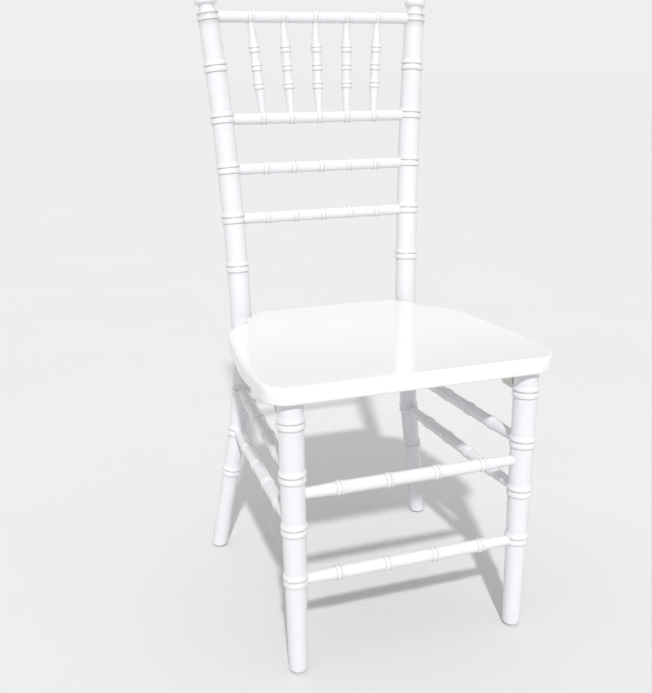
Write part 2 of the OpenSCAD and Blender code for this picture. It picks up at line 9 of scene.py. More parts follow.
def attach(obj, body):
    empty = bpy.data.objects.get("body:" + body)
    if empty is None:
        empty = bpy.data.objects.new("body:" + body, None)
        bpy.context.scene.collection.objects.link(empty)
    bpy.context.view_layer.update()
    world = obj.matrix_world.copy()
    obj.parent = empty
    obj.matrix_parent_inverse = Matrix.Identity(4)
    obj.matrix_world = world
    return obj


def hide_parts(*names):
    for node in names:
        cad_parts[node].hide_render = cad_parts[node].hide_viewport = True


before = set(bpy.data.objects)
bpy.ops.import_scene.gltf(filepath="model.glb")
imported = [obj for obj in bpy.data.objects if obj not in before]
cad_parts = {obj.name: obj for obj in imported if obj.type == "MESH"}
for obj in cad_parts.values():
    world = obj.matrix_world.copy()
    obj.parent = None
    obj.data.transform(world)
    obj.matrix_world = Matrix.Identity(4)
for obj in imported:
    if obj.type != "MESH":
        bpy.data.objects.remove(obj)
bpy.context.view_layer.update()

bl_info = {
    "name": "Bamboo Turned Banquet Chair",
    "version": (1, 0, 0),
    "blender": (4, 5, 0),
    "location": "3D View > Sidebar > Banquet Chair",
    "description": "Builds a white painted banquet chair with turned bamboo rings",
    "category": "Object",
}

BODY = "root"
LEFT, RIGHT = -1, 1
SEGMENTS, RAIL_SEGMENTS, SPINDLE_SEGMENTS = 96, 64, 48
GROOVE_REACH = 0.0014  # how far the painted shade of a groove fades out to each side
CORNER_R, RAIL_CORNER_R = 0.0005, 0.0004  # rounding of turned corners
RING_BELOW, RING_ABOVE = 0.006, 0.012  # where the bar's own radius is read beside a ring
GLIDE_T = 0.003  # the glides lift the feet by this much
POST_GROWTH = 0.010  # length over which a post grows to its full diameter
SPINDLE_SEAT = 0.002  # how deep a spindle's end sits in a rail
SHADE_ANGLE, SEAT_SHADE_ANGLE = 32.0, 40.0  # degrees past which an edge stays sharp
FLOOR_HALF = 60.0

# the photograph's viewpoint, fitted to the chair
CAMERA_PLACE = (-0.49558, -1.25377, 0.80283)
CAMERA_AZIMUTH, CAMERA_DOWN, CAMERA_ROLL = -19.043, 14.517, -0.437
CAMERA_LENS, CAMERA_SENSOR = 51.30, 36.0
CAMERA_SHIFT = (0.0080, -0.0616)
KEY_WAY = (0.27, 1.0, -0.95)  # the way the key light shines


# ---------------------------------------------------------------- settings
def length(name, description, default, low=0.0005, high=2.0):
    return FloatProperty(
        name=name, description=description, default=default, min=low, max=high,
        precision=4, unit="LENGTH",
    )


def paint_colour(name, description, default):
    return FloatVectorProperty(
        name=name, description=description, default=default, size=3,
        min=0.0, max=1.0, subtype="COLOR",
    )


def share(name, description, default):
    return FloatProperty(
        name=name, description=description, default=default, min=0.0, max=1.0,
        precision=3, subtype="FACTOR",
    )


def strength(name, description, default):
    return FloatProperty(name=name, description=description, default=default, min=0.0)


def angle(name, description, degrees, high):
    return FloatProperty(
        name=name, description=description, default=math.radians(degrees), min=0.0, max=high,
        subtype="ANGLE", unit="ROTATION",
    )


def count(name, description, default, low, high):
    return IntProperty(name=name, description=description, default=default, min=low, max=high)


class ChairSizes(bpy.types.PropertyGroup):
    overall_h: length("Overall height", "Height to the top of the finials", 0.914)
    seat_h: length("Seat height", "Height of the seat's top face", 0.418)
    seat_t: length("Seat thickness", "Thickness of the seat board", 0.023)
    frame_shift: length(
        "Frame shift", "Y from the middle of the frame to the middle of the outline",
        -0.0207498, -0.2, 0.2)


class LegSizes(bpy.types.PropertyGroup):
    span_top: length("Span under the seat", "Between the front legs' centre lines", 0.343)
    span_foot: length("Span at the floor", "Between the front legs' centre lines", 0.331)
    y: length("Legs in front", "From the middle of the frame to the front legs", 0.1719)
    dia: length("Leg diameter", "Diameter of a front leg under the seat", 0.0345)
    waist_dia: length("Waist diameter", "Diameter of a front leg at its third ring", 0.0325)
    foot_dia: length("Foot diameter", "Diameter of a front leg at the floor", 0.026)
    ring_drop: length("First ring", "From the seat's underside to the top ring", 0.033)
    ring_pitch: length("Ring pitch", "From ring to ring", 0.0745)
    rings: count("Rings", "Rings on a front leg", 4, 3, 4)


class PostSizes(bpy.types.PropertyGroup):
    knee_span: length("Knee span", "Between the rear posts' knees", 0.2872)
    knee_drop: length("Knee drop", "From the seat's underside to the knee", 0.095)
    foot_out: length("Foot out", "How far a rear foot stands outside its knee", 0.0445)
    foot_back: length("Foot back", "How far a rear foot stands behind its knee", 0.0344)
    rake: angle("Rake", "Backward lean just above the knee", 2.57, 0.2)
    curve_r: length("Curve radius", "Radius of the long curve above the knee", 4.62, 1.0, 10.0)
    curve_dir: angle("Curve direction", "Where the curve leads, from +X", 38.6, 1.5)
    bend_start: length("Bend start", "From the knee down the shin to the bend", 0.086)
    bend_bow: length("Bend bow", "How far the bend bows out between its ends", 0.004)
    bend_dir: angle("Bend direction", "Where the bend bows in from, from +X", 51.0, 1.5)
    ease: length("Ease", "Length of post over which one curve eases into the next", 0.01)
    step: length("Step", "How far above the seat's underside the full diameter starts", 0.002)
    dia: length("Post diameter", "Diameter of a rear post above the seat", 0.034)
    top_dia: length("Top diameter", "Diameter of a rear post at its top ring", 0.0315)
    bend_dia: length("Bend diameter", "Diameter just under the seat", 0.0305)
    shin_dia: length("Shin diameter", "Diameter at the top of the straight shin", 0.0288)
    foot_dia: length("Foot diameter", "Diameter of a rear post at the floor", 0.0255)
    ring_pitch: length("Ring pitch", "From ring to ring above the seat", 0.0775)
    shin_pitch: length("Shin ring pitch", "From ring to ring below the seat", 0.0745)
    rings: count("Rings", "Rings above the seat", 6, 5, 6)


class FinialSizes(bpy.types.PropertyGroup):
    height: length("Height", "Top of the finial above the middle of the top ring", 0.038)
    button_dia: length("Button diameter", "Diameter of the button on top", 0.0345)
    rim_h: length("Rim height", "Height of the button's rim", 0.008)
    dome_h: length("Dome height", "Height of the dome on the button", 0.011)
    neck_dia: length("Neck diameter", "Diameter of the neck under the button", 0.025)


class RingSizes(bpy.types.PropertyGroup):
    lip: length("Lip", "How far a lip stands proud of a leg or post", 0.002)
    gap: length("Lip gap", "Between a ring's two lips", 0.0095)
    flare: length("Flare", "Length of the flare above the upper lip", 0.0075)
    drop: length("Drop", "Length of the drop behind a lip", 0.0012)
    rail_lip: length("Rail lip", "How far a lip stands proud of a rail", 0.0012)
    rail_gap: length("Rail lip gap", "Between a rail ring's two lips", 0.007)
    rail_flare: length("Rail flare", "Length of the flare on a rail", 0.0045)


class RailSizes(bpy.types.PropertyGroup):
    dia: length("Rail diameter", "Diameter of the back rails", 0.0175)
    crest_pitch: length("Crest pitch", "Between the crest rail's rings", 0.053)
    pitch: length("Rail pitch", "Between the lower rails' rings", 0.0465)
    housing: length("Housing", "How deep a rail's end sits in a post", 0.0045)
    spindle_dia: length("Spindle diameter", "Diameter between a spindle's rings", 0.015)
    spindle_end: length("Spindle end", "Diameter at a spindle's ends", 0.0105)
    spindle_plain: length("Spindle plain end", "Length of a spindle's plain ends", 0.012)
    spindle_rings: length("Spindle rings", "Between a spindle's rings", 0.028)
    spindles: count("Spindles", "Spindles in the back", 5, 1, 5)


class StretcherSizes(bpy.types.PropertyGroup):
    dia: length("Stretcher diameter", "Diameter in the middle", 0.018)
    end_dia: length("End diameter", "Diameter at the ends", 0.0145)
    swell: length("Swell", "Length over which a stretcher swells", 0.06)
    upper_drop: length("Upper drop", "Upper front stretcher below the second ring", 0.0255)
    lower_drop: length("Lower drop", "Lower front stretcher below the lowest ring", 0.001)
    front_pitch: length("Front pitch", "Between the front stretchers' rings", 0.071)
    side_pitch: length("Side pitch", "Between the side stretchers' rings", 0.066)
    rings: count("Rings", "Rings on a stretcher", 4, 3, 4)


class SeatSizes(bpy.types.PropertyGroup):
    width: length("Width", "Width of the seat at its widest", 0.42)
    front: length("Front overhang", "Front edge in front of the front legs", 0.027)
    rear: length("Rear overhang", "Rear edge behind the knees", 0.007)
    belly: length("Belly", "Widest place outside the front corners", 0.001)
    taper: length("Taper", "Widest place outside the rear shoulders", 0.012)
    belly_share: share("Belly place", "Where the seat is widest, from the front", 0.33)
    belly_r: length("Belly radius", "Radius of the widest place", 0.06)
    corner_r: length("Corner radius", "Radius of the front corners", 0.034)
    shoulder_r: length("Shoulder radius", "Radius of the rear shoulders", 0.14)
    shoulder_back: length("Shoulders", "Shoulders in front of the rear edge", 0.011)
    tongue_r: length("Tongue radius", "Radius of the corners between the posts", 0.014)
    rear_bow: length("Rear bow", "How far the rear edge bows out", 0.002)
    notch: length("Notch", "Depth of the notch in front of each post", 0.042)
    notch_slant: length("Notch slant", "How much further forward the notch opens", 0.013)
    notch_r: length("Notch corners", "Radius of the corners beside each post", 0.006)
    edge: length("Edge", "Rounding of the seat's edges", 0.005)
    post_gap: length("Post gap", "Between the seat and each post", 0.0015)


class PaintLooks(bpy.types.PropertyGroup):
    # painted shade: the frame's white is the seat's paint set darker and a little bluer, toned down
    # for the stronger light on upright parts
    frame_colour_with_shade: paint_colour("Frame paint", "Paint on the turned parts", (0.76, 0.77, 0.785))
    seat_colour: paint_colour("Seat paint", "Paint on the seat", (0.83, 0.834, 0.845))
    # painted shade: the grey that darkens the grooves behind the lips
    groove_shade_colour: paint_colour("Groove tone", "Tone behind the lips", (0.50, 0.50, 0.50))
    frame_gloss: share("Frame roughness", "Roughness of the frame's paint", 0.26)
    seat_gloss: share("Seat roughness", "Roughness of the seat's paint", 0.16)


class StageLooks(bpy.types.PropertyGroup):
    floor_colour: paint_colour("Floor", "Colour of the studio floor", (0.67, 0.672, 0.68))
    key_strength: strength("Key light", "Strength of the distant key light", 2.5)
    key_softness: angle("Key softness", "How wide the key light looks from the chair", 2.5, 1.5)
    backdrop_strength: strength("Backdrop", "Strength of the pale backdrop", 0.86)
    low_strength: strength("Low light", "Strength of the room's light from the sides", 0.1)
    high_strength: strength("Overhead light", "Strength of the room's light overhead", 1.2)


SETTINGS = {
    "chair_sizes": ChairSizes, "leg_sizes": LegSizes, "post_sizes": PostSizes,
    "finial_sizes": FinialSizes, "ring_sizes": RingSizes, "rail_sizes": RailSizes,
    "stretcher_sizes": StretcherSizes, "seat_sizes": SeatSizes, "paint_looks": PaintLooks,
    "stage_looks": StageLooks,
}


def setting(name):
    return getattr(bpy.context.scene, name)


# ---------------------------------------------------------------- the frame's lines
class Lines:
    """Where the chair's members run, in metres, from the middle of the frame on the floor."""

    def __init__(self):
        c, leg, post = setting("chair_sizes"), setting("leg_sizes"), setting("post_sizes")
        fin, st = setting("finial_sizes"), setting("stretcher_sizes")
        self.shift = Vector((0, c.frame_shift, 0))
        self.under = c.seat_h - c.seat_t
        self.knee = Vector((post.knee_span / 2, leg.y, self.under - post.knee_drop))
        self.foot = self.knee + Vector((post.foot_out, post.foot_back, -self.knee.z))
        self.shin_dir = (self.knee - self.foot).normalized()
        self.shin_top = self.knee - post.bend_start * self.shin_dir
        self.shin_l = (self.shin_top - self.foot).length
        self.r = r = post.curve_r
        self.rise = Vector((0, math.sin(post.rake), math.cos(post.rake)))
        self.inward = self.square_to(post.curve_dir, self.rise)
        a = r * self.rise.z + fin.height * self.inward.z
        b = fin.height * self.rise.z - r * self.inward.z
        c2 = c.overall_h - self.knee.z - r * self.inward.z
        whole = math.asin(c2 / math.hypot(a, b)) - math.atan2(b, a)
        self.step_angle = self.angle_at(self.under + post.step)
        self.curve_l = (whole - self.step_angle) * r
        # the bend joins the shin to the long curve, by its chord and its bow
        chord = self.on_curve(self.step_angle)[0] - self.shin_top
        self.bend_r = chord.length ** 2 / 8 / post.bend_bow + post.bend_bow / 2
        half = math.asin(chord.length / 2 / self.bend_r)
        straight = chord.normalized()
        side = -self.square_to(post.bend_dir, straight)
        self.bend_forward = math.cos(half) * straight + math.sin(half) * side
        self.bend_inward = math.sin(half) * straight - math.cos(half) * side
        self.bend_l = 2 * half * self.bend_r
        self.leg_ring_z = [
            self.under - leg.ring_drop - i * leg.ring_pitch for i in range(leg.rings)]
        self.front_upper = self.leg_ring_z[1] - st.upper_drop
        self.front_lower = self.leg_ring_z[-1] - st.lower_drop

    @staticmethod
    def square_to(angle, line):
        """The level direction at that angle from +X, made square to a line."""
        level = Vector((math.cos(angle), math.sin(angle), 0))
        return (level - level.dot(line) * line).normalized()

    def on_curve(self, a):
        p = self.knee + self.r * (math.sin(a) * self.rise + (1 - math.cos(a)) * self.inward)
        return p, math.cos(a) * self.rise + math.sin(a) * self.inward

    def angle_at(self, z):
        """The angle along the long curve at which it reaches height z."""
        a, b = self.r * self.rise.z, -self.r * self.inward.z
        return math.asin((z - self.knee.z + b) / math.hypot(a, b)) - math.atan2(b, a)

    def post_above(self, z):
        return self.on_curve(self.angle_at(z))[0]

    def post_point(self, s):
        """The post's centre and its direction, s metres from where the long curve starts."""
        if s >= 0:
            return self.on_curve(self.step_angle + s / self.r)
        if s >= -self.bend_l:
            a = (s + self.bend_l) / self.bend_r
            p = self.shin_top + self.bend_r * (
                math.sin(a) * self.bend_forward + (1 - math.cos(a)) * self.bend_inward)
            return p, math.cos(a) * self.bend_forward + math.sin(a) * self.bend_inward
        return self.shin_top + (s + self.bend_l) * self.shin_dir, self.shin_dir.copy()

    def ring_s(self, i):
        return self.curve_l - i * setting("post_sizes").ring_pitch

    def leg_point(self, z, side=RIGHT):
        leg = setting("leg_sizes")
        x = leg.span_foot / 2 + (leg.span_top - leg.span_foot) / 2 * z / self.under
        return Vector((side * x, -leg.y, z))

    @staticmethod
    def mirrored(p):
        return Vector((-p.x, p.y, p.z))


# ---------------------------------------------------------------- mesh helpers
def smooth_corners(points, radius, steps=3):
    """Rounds each corner of a profile of (r, z) points by a short arc of up to that radius."""
    out = [points[0]]
    for a, b, c in zip(points, points[1:], points[2:]):
        va, vc = Vector(a) - Vector(b), Vector(c) - Vector(b)
        la, lc = va.length, vc.length
        if la < 1e-7 or lc < 1e-7:
            continue
        turn = math.pi - va.angle(vc)
        if turn < 0.05:
            out.append(b)
            continue
        cut = min(radius * math.tan(turn / 2), 0.42 * la, 0.42 * lc)
        p, q = Vector(b) + va / la * cut, Vector(b) + vc / lc * cut
        for i in range(steps + 1):
            t = i / steps
            m = p.lerp(Vector(b), t).lerp(Vector(b).lerp(q, t), t)
            out.append((m.x, m.y))
    out.append(points[-1])
    return out


def turned_mesh(points, segments=SEGMENTS):
    """Turns a closed mesh round Z from (r, z) points and keeps its turned place."""
    bm = bmesh.new()
    line = [(0.0, points[0][1])] + [p for p in points if p[0] > 1e-6] + [(0.0, points[-1][1])]
    verts = [bm.verts.new((r, 0, z)) for r, z in line]
    edges = [bm.edges.new(pair) for pair in zip(verts, verts[1:])]
    bmesh.ops.spin(
        bm, geom=verts + edges, cent=(0, 0, 0), axis=(0, 0, 1), angle=2 * math.pi,
        steps=segments, use_merge=True)
    bmesh.ops.remove_doubles(bm, verts=bm.verts, dist=1e-6)
    bmesh.ops.recalc_face_normals(bm, faces=bm.faces)
    keep_turned_place(bm)
    return bm


def keep_turned_place(bm):
    """Stores where each point was on the lathe, for the paint to follow."""
    place = bm.verts.layers.float_vector.new("lathe")
    for v in bm.verts:
        v[place] = v.co


def store_groove_shade(bm, spots):
    """Marks how near each point lies to a groove at one of the heights, as the mask for the painted
    shade in the grooves.
    """
    groove = bm.verts.layers.float.new("groove")
    place = bm.verts.layers.float_vector["lathe"]
    for v in bm.verts:
        z = v[place].z
        near = min((abs(z - s) for s in spots), default=1.0)
        v[groove] = max(0.0, 1.0 - near / GROOVE_REACH)


def along_line(bm, a, b):
    """Moves a mesh turned round Z onto the line from a towards b."""
    d = (b - a).normalized()
    turn = d.to_track_quat("Z", "Y").to_matrix().to_4x4()
    bmesh.ops.transform(bm, matrix=Matrix.Translation(a) @ turn, verts=bm.verts)


def shade(bm, sharp_angle):
    for f in bm.faces:
        f.smooth = True
    limit = math.radians(sharp_angle)
    for e in bm.edges:
        e.smooth = not (len(e.link_faces) == 2 and e.calc_face_angle(0.0) > limit)


def to_object(name, bm, node, slot, sharp_angle=SHADE_ANGLE, mirror_x=False):
    """Makes the finished piece, which stands for its CAD node."""
    if mirror_x:
        bmesh.ops.scale(bm, vec=(-1, 1, 1), verts=bm.verts)
        bmesh.ops.reverse_faces(bm, faces=bm.faces)
    shade(bm, sharp_angle)
    mesh = bpy.data.meshes.new(name)
    bm.to_mesh(mesh)
    bm.free()
    obj = bpy.data.objects.new(name, mesh)
    bpy.context.scene.collection.objects.link(obj)
    mesh.materials.append(finish_of(slot))
    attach(obj, BODY)
    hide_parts(node)


# ---------------------------------------------------------------- turned profiles
def ring_profile(z, r, lip, gap, flare, drop, above=None):
    """One bamboo ring from below: two full beads, each undercut by a sharp groove."""
    above = r if above is None else above
    low, high = z - gap / 2, z + gap / 2
    return [
        (r, low - drop - GROOVE_REACH), (r, low - drop), (r + lip, low),
        (r + lip, low + 0.35 * gap),
        (r + 0.7 * lip, low + 0.62 * gap), (r + 0.05 * lip, high - drop),
        (above + lip, high), (above + lip, high + 0.25 * flare),
        (above + 0.62 * lip, high + 0.55 * flare), (above + 0.1 * lip, high + 0.85 * flare),
        (above, high + flare),
    ]


def groove_spots(z, gap, drop):
    return [z - gap / 2 - drop, z + gap / 2 - drop]


# ---------------------------------------------------------------- materials
def new_material(name):
    m = bpy.data.materials.new(name)
    m.use_nodes = True
    tree = m.node_tree
    tree.nodes.clear()
    out = tree.nodes.new("ShaderNodeOutputMaterial")
    shader = tree.nodes.new("ShaderNodeBsdfPrincipled")
    tree.links.new(shader.outputs["BSDF"], out.inputs["Surface"])
    return m, tree, shader


def node(tree, kind, **values):
    n = tree.nodes.new(kind)
    for key, value in values.items():
        if key in n.inputs:
            n.inputs[key].default_value = value
        else:
            setattr(n, key, value)
    return n


def noise(tree, place, scale, detail=4.0, rough=0.55, stretch=None):
    if stretch:
        m = node(tree, "ShaderNodeMapping")
        m.inputs["Scale"].default_value = stretch
        tree.links.new(place, m.inputs["Vector"])
        place = m.outputs["Vector"]
    n = node(tree, "ShaderNodeTexNoise", Scale=scale, Detail=detail, Roughness=rough)
    tree.links.new(place, n.inputs["Vector"])
    return n.outputs["Fac"]


def ramp(tree, value, low, high, out_low=0.0, out_high=1.0):
    n = node(tree, "ShaderNodeMapRange")
    n.inputs["From Min"].default_value = low
    n.inputs["From Max"].default_value = high
    n.inputs["To Min"].default_value = out_low
    n.inputs["To Max"].default_value = out_high
    tree.links.new(value, n.inputs["Value"])
    return n.outputs["Result"]


def mix_colour(tree, fac, a, b):
    n = node(tree, "ShaderNodeMix", data_type="RGBA", blend_type="MIX")
    for value, socket in ((fac, 0), (a, 6), (b, 7)):
        if isinstance(value, bpy.types.NodeSocket):
            tree.links.new(value, n.inputs[socket])
        elif socket == 0:
            n.inputs[socket].default_value = value
        else:
            n.inputs[socket].default_value = (*value, 1.0)
    return n.outputs[2]


def add_bump(tree, shader, heights):
    """Chains bumps from (height socket, strength, distance)."""
    normal = None
    for height, strength, distance in heights:
        b = node(tree, "ShaderNodeBump", Strength=strength, Distance=distance)
        tree.links.new(height, b.inputs["Height"])
        if normal is not None:
            tree.links.new(normal, b.inputs["Normal"])
        normal = b.outputs["Normal"]
    tree.links.new(normal, shader.inputs["Normal"])


def turned_paint():
    """White semi-gloss paint on turned wood: lathe lines under it, and painted shade darkening the
    grooves.
    """
    looks = setting("paint_looks")
    m, tree, shader = new_material("turned_white_paint")
    lathe = node(tree, "ShaderNodeAttribute", attribute_name="lathe").outputs["Vector"]
    # mask for the painted shade in the grooves
    groove = node(tree, "ShaderNodeAttribute", attribute_name="groove").outputs["Fac"]
    place = node(tree, "ShaderNodeTexCoord").outputs["Object"]
    blotch = noise(tree, place, 9.0, 3.0)
    fine = noise(tree, place, 160.0, 3.0)
    lines = noise(tree, lathe, 22.0, 3.0, 0.6, stretch=(1.0, 1.0, 12.0))
    # the frame's base colour carries painted shade, darker and bluer than the seat's white
    base = looks.frame_colour_with_shade
    tone = mix_colour(tree, ramp(tree, blotch, 0.35, 0.7), base, [0.985 * c for c in base])
    dirt = ramp(tree, fine, 0.45, 0.75, 0.0, 0.03)
    tone = mix_colour(tree, dirt, tone, [0.93 * base[0], 0.925 * base[1], 0.90 * base[2]])
    # painted shade: the grooves behind the lips are darkened towards the groove shade colour
    deep = node(tree, "ShaderNodeMath", operation="POWER")
    tree.links.new(groove, deep.inputs[0])
    deep.inputs[1].default_value = 1.4
    soft = node(tree, "ShaderNodeMath", operation="MULTIPLY")
    tree.links.new(deep.outputs[0], soft.inputs[0])
    soft.inputs[1].default_value = 0.8
    tone = mix_colour(tree, soft.outputs[0], tone, looks.groove_shade_colour)
    tree.links.new(tone, shader.inputs["Base Color"])
    rough = ramp(tree, blotch, 0.35, 0.7, looks.frame_gloss - 0.02, looks.frame_gloss + 0.03)
    tree.links.new(rough, shader.inputs["Roughness"])
    shader.inputs["Coat Weight"].default_value = 0.35
    shader.inputs["Coat Roughness"].default_value = 0.12
    shader.inputs["Specular IOR Level"].default_value = 0.5
    add_bump(tree, shader, [(lines, 0.012, 0.0002), (fine, 0.01, 0.0002)])
    return m


def seat_paint():
    """White gloss paint on a flat board, with the grain showing faintly."""
    looks = setting("paint_looks")
    m, tree, shader = new_material("seat_white_paint")
    place = node(tree, "ShaderNodeTexCoord").outputs["Object"]
    blotch = noise(tree, place, 6.0, 4.0)
    grain = noise(tree, place, 14.0, 5.0, 0.6, stretch=(9.0, 1.0, 9.0))
    base = looks.seat_colour
    tone = mix_colour(tree, ramp(tree, blotch, 0.35, 0.7), base, [0.97 * c for c in base])
    tone = mix_colour(tree, ramp(tree, grain, 0.5, 0.8, 0.0, 0.25), tone, [0.95 * c for c in base])
    tree.links.new(tone, shader.inputs["Base Color"])
    rough = ramp(tree, blotch, 0.3, 0.75, looks.seat_gloss - 0.02, looks.seat_gloss + 0.04)
    tree.links.new(rough, shader.inputs["Roughness"])
    shader.inputs["Coat Weight"].default_value = 0.6
    shader.inputs["Coat Roughness"].default_value = 0.06
    add_bump(tree, shader, [(blotch, 0.03, 0.003), (grain, 0.012, 0.0003)])
    return m


def planed_paint():
    """Thin white paint over planed hardwood, with the grain showing."""
    m, tree, shader = new_material("planed_thin_paint")
    place = node(tree, "ShaderNodeTexCoord").outputs["Object"]
    grain = noise(tree, place, 30.0, 6.0, 0.65, stretch=(1.0, 14.0, 14.0))
    fine = noise(tree, place, 240.0, 3.0)
    tone = mix_colour(tree, ramp(tree, grain, 0.35, 0.7), (0.74, 0.73, 0.70), (0.60, 0.56, 0.48))
    tree.links.new(tone, shader.inputs["Base Color"])
    tree.links.new(ramp(tree, fine, 0.3, 0.7, 0.42, 0.62), shader.inputs["Roughness"])
    add_bump(tree, shader, [(grain, 0.4, 0.0006), (fine, 0.2, 0.0003)])
    return m


def screw_steel():
    """Zinc plated steel, slightly dulled."""
    m, tree, shader = new_material("zinc_plated_steel")
    place = node(tree, "ShaderNodeTexCoord").outputs["Object"]
    fine = noise(tree, place, 700.0, 4.0)
    tone = mix_colour(tree, ramp(tree, fine, 0.35, 0.7), (0.56, 0.57, 0.60), (0.44, 0.44, 0.44))
    tree.links.new(tone, shader.inputs["Base Color"])
    shader.inputs["Metallic"].default_value = 1.0
    tree.links.new(ramp(tree, fine, 0.3, 0.7, 0.28, 0.46), shader.inputs["Roughness"])
    add_bump(tree, shader, [(fine, 0.15, 0.0002)])
    return m


def glide_nylon():
    """Moulded nylon, matt and a little scuffed."""
    m, tree, shader = new_material("moulded_nylon")
    place = node(tree, "ShaderNodeTexCoord").outputs["Object"]
    fine = noise(tree, place, 420.0, 4.0)
    scuff = noise(tree, place, 60.0, 5.0, 0.6)
    tone = mix_colour(tree, ramp(tree, scuff, 0.45, 0.75), (0.62, 0.62, 0.60), (0.40, 0.39, 0.37))
    tree.links.new(tone, shader.inputs["Base Color"])
    tree.links.new(ramp(tree, fine, 0.3, 0.7, 0.45, 0.65), shader.inputs["Roughness"])
    add_bump(tree, shader, [(fine, 0.25, 0.0003)])
    return m


MAKERS = {
    "frame_paint": turned_paint, "seat_paint": seat_paint, "bare_wood": planed_paint,
    "screw_steel": screw_steel, "glide_nylon": glide_nylon,
}
made = {}


def finish_of(slot):
    if slot not in made:
        made[slot] = MAKERS[slot]()
    return made[slot]


# ---------------------------------------------------------------- pieces
def post_radius(lines, s):
    """The plain radius of a rear post, s metres from where the long curve starts."""
    post = setting("post_sizes")
    if s >= 0:
        t = min(1.0, max(0.0, (s - lines.ring_s(2)) / (2 * post.ring_pitch)))
        return (post.dia + (post.top_dia - post.dia) * t) / 2
    if s >= -POST_GROWTH:
        t = 1 + s / POST_GROWTH
        return (post.bend_dia + (post.dia - post.bend_dia) * t * t * (3 - 2 * t)) / 2
    if s >= -lines.bend_l:
        return (post.shin_dia + (post.bend_dia - post.shin_dia) * (1 + s / lines.bend_l)) / 2
    t = 1 + (s + lines.bend_l) / lines.shin_l
    return (post.foot_dia + (post.shin_dia - post.foot_dia) * t) / 2


def finial_profile(z0, r, lip, gap, drop):
    """The top ring and the button on its neck, upwards from the ring's middle at z0."""
    fin = setting("finial_sizes")
    sweep, dome = 14, 19
    bulge = 0.0016
    rim_z = fin.height - fin.dome_h - fin.rim_h
    neck_top, neck_low = rim_z - 0.002, rim_z - 0.005
    rim_r, neck_r = fin.button_dia / 2 - bulge, fin.neck_dia / 2
    pts = [(r, z0 - gap / 2 - drop), (r + lip, z0 - gap / 2),
           (r + 0.12 * lip, z0 + gap / 2 - drop), (r + lip, z0 + gap / 2)]
    for i in range(1, sweep + 1):
        a = math.pi / 2 * i / sweep
        pts.append((neck_r + (r + lip - neck_r) * (1 - math.sin(a)),
                    z0 + gap / 2 + (neck_low - gap / 2) * (1 - math.cos(a))))
    pts.append((neck_r, z0 + neck_top - 0.0005))
    for i in range(sweep + 1):
        a = math.pi * i / sweep
        pts.append((rim_r + bulge * math.sin(a), z0 + rim_z + fin.rim_h / 2 * (1 - math.cos(a))))
    for i in range(1, dome + 1):
        a = math.pi / 2 * i / dome
        pts.append((rim_r * math.cos(a), z0 + fin.height - fin.dome_h * (1 - math.sin(a))))
    return pts


def rear_post(side):
    lines, post, ring = Lines(), setting("post_sizes"), setting("ring_sizes")
    # heights here run along the post, from the start of its long curve
    spare, bevel = 0.006, 0.0015
    foot_s = -lines.bend_l - lines.shin_l - spare
    foot_r = post_radius(lines, foot_s)
    pts, spots = [(foot_r - bevel, foot_s), (foot_r, foot_s + bevel)], []
    ring_places = [k * post.shin_pitch - lines.bend_l for k in (-1, 0, 1)]
    ring_places += [lines.ring_s(i) for i in range(post.rings - 1, 0, -1)]
    for s in ring_places:
        if s > 0 > pts[-1][1]:
            # a station each millimetre where the post grows
            pts += [(post_radius(lines, 0.001 * k), 0.001 * k) for k in range(-12, 2)]
        low, high = post_radius(lines, s - RING_BELOW), post_radius(lines, s + RING_ABOVE)
        pts += ring_profile(s, low, ring.lip, ring.gap, ring.flare, ring.drop, high)
        spots += groove_spots(s, ring.gap, ring.drop)
    top = lines.ring_s(0)
    pts += finial_profile(top, post_radius(lines, top), ring.lip, ring.gap, ring.drop)
    spots += groove_spots(top, ring.gap, ring.drop)
    bm = turned_mesh(smooth_corners(with_stations(pts, 0.012), CORNER_R))
    store_groove_shade(bm, spots)
    place = bm.verts.layers.float_vector["lathe"]
    # carry the turned bar onto the post's bent centre line, without twist
    for v in bm.verts:
        s = v[place].z
        p = lines.post_point(s)[0]
        d = (lines.post_point(s + post.ease)[0] - lines.post_point(s - post.ease)[0]).normalized()
        x = (Vector((1, 0, 0)) - d.x * d).normalized()
        y = d.cross(x)
        v.co = p + x * v[place].x + y * v[place].y + lines.shift
    flatten_foot(bm, GLIDE_T)
    suffix = "right" if side > 0 else "left"
    to_object("post_" + suffix, bm, "rear_post_" + suffix, "frame_paint", mirror_x=side < 0)


def with_stations(points, most):
    """Adds points on long straight runs, so that a bar can be bent smoothly."""
    out = [points[0]]
    for a, b in zip(points, points[1:]):
        n = max(1, math.ceil(abs(b[1] - a[1]) / most))
        out += [(a[0] + (b[0] - a[0]) * i / n, a[1] + (b[1] - a[1]) * i / n)
                for i in range(1, n + 1)]
    return out


def flatten_foot(bm, z):
    """Cuts the foot level and closes it."""
    cut = bmesh.ops.bisect_plane(
        bm, geom=bm.verts[:] + bm.edges[:] + bm.faces[:], dist=1e-6, plane_co=(0, 0, z),
        plane_no=(0, 0, -1), clear_outer=True)
    rim = [e for e in cut["geom_cut"] if isinstance(e, bmesh.types.BMEdge) and e.is_boundary]
    if rim:
        bmesh.ops.holes_fill(bm, edges=rim, sides=0)


def leg_radius(lines, z):
    """The plain radius of a front leg at height z."""
    leg, waist_z = setting("leg_sizes"), lines.leg_ring_z[-2]
    if z >= waist_z:
        t = (z - waist_z) / (lines.under - waist_z)
        return (leg.waist_dia + (leg.dia - leg.waist_dia) * t) / 2
    return (leg.foot_dia + (leg.waist_dia - leg.foot_dia) * z / waist_z) / 2


